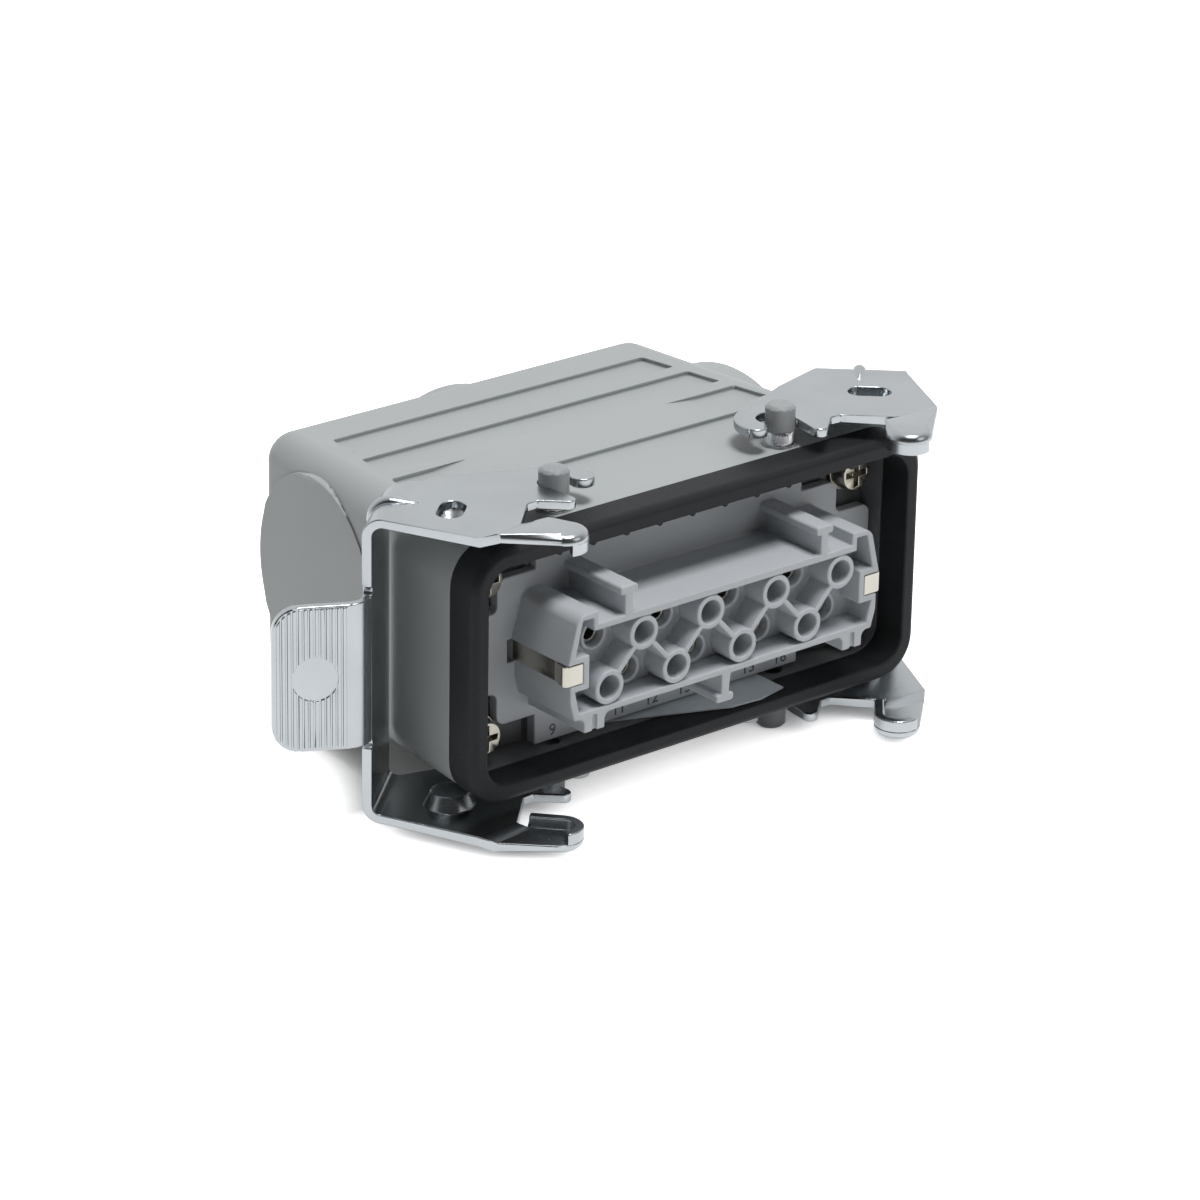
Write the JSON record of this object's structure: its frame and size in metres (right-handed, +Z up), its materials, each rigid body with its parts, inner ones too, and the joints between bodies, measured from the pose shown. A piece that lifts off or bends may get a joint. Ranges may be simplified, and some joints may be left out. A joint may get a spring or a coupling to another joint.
{
  "type": "multi-contact coupling socket",
  "caption": "Rectangular cable hood with a rubber face seal, a female contact insert in its mouth and two folded metal locking levers that swing on pegs at either end.",
  "frame": {"origin": "centre of the face seal's front face, which is also the middle of the contact pattern", "axes": "+X along the mating face's length, +Y back from the mating face towards the cable entry, +Z up through the upper pivot pegs"},
  "size_m": [0.1388, 0.0807, 0.0572],
  "materials": {
    "hood_paint": "satin light grey enamel",
    "seal_rubber": "matte black rubber",
    "film": "matte grey film",
    "insert_plastic": "matte light grey moulding",
    "contact_metal": "silver plated",
    "zinc": "bright zinc plated",
    "spring_metal": "bright plated strip",
    "sleeve_plastic": "matte grey moulding",
    "lever_zinc": "bright zinc plated sheet"
  },
  "bodies": {
    "housing": {"hood": "hood_paint", "gasket": "seal_rubber", "insulating_film": "film", "insert_body": "insert_plastic", "upper_contacts": "contact_metal", "lower_contacts": "contact_metal", "upper_terminal_screws": "zinc", "lower_terminal_screws": "zinc", "earth_plate_left": "zinc", "earth_plate_right": "zinc", "earth_spring_left": "spring_metal", "earth_spring_right": "spring_metal", "earth_screw_left": "zinc", "earth_screw_right": "zinc", "fixing_screws": "zinc", "fixing_washers": "zinc", "pin_top_left": "zinc", "pin_top_right": "zinc", "pin_bottom_left": "zinc", "pin_bottom_right": "zinc", "sleeve_top_left": "sleeve_plastic", "sleeve_top_right": "sleeve_plastic", "sleeve_bottom_left": "sleeve_plastic", "sleeve_bottom_right": "sleeve_plastic"},
    "lever_left": {"lever_left": "lever_zinc"},
    "lever_right": {"lever_right": "lever_zinc"}
  },
  "joints": [
    {"name": "lever_left_swing", "type": "hinge", "parent": "housing", "child": "lever_left", "pos_m": [-0.0237, 0.0096, 0], "axis": [0, 0, 1], "range_deg": [0, 48]},
    {"name": "lever_right_swing", "type": "hinge", "parent": "housing", "child": "lever_right", "pos_m": [0.0237, 0.0096, 0], "axis": [0, 0, 1], "range_deg": [-48, 0]}
  ]
}
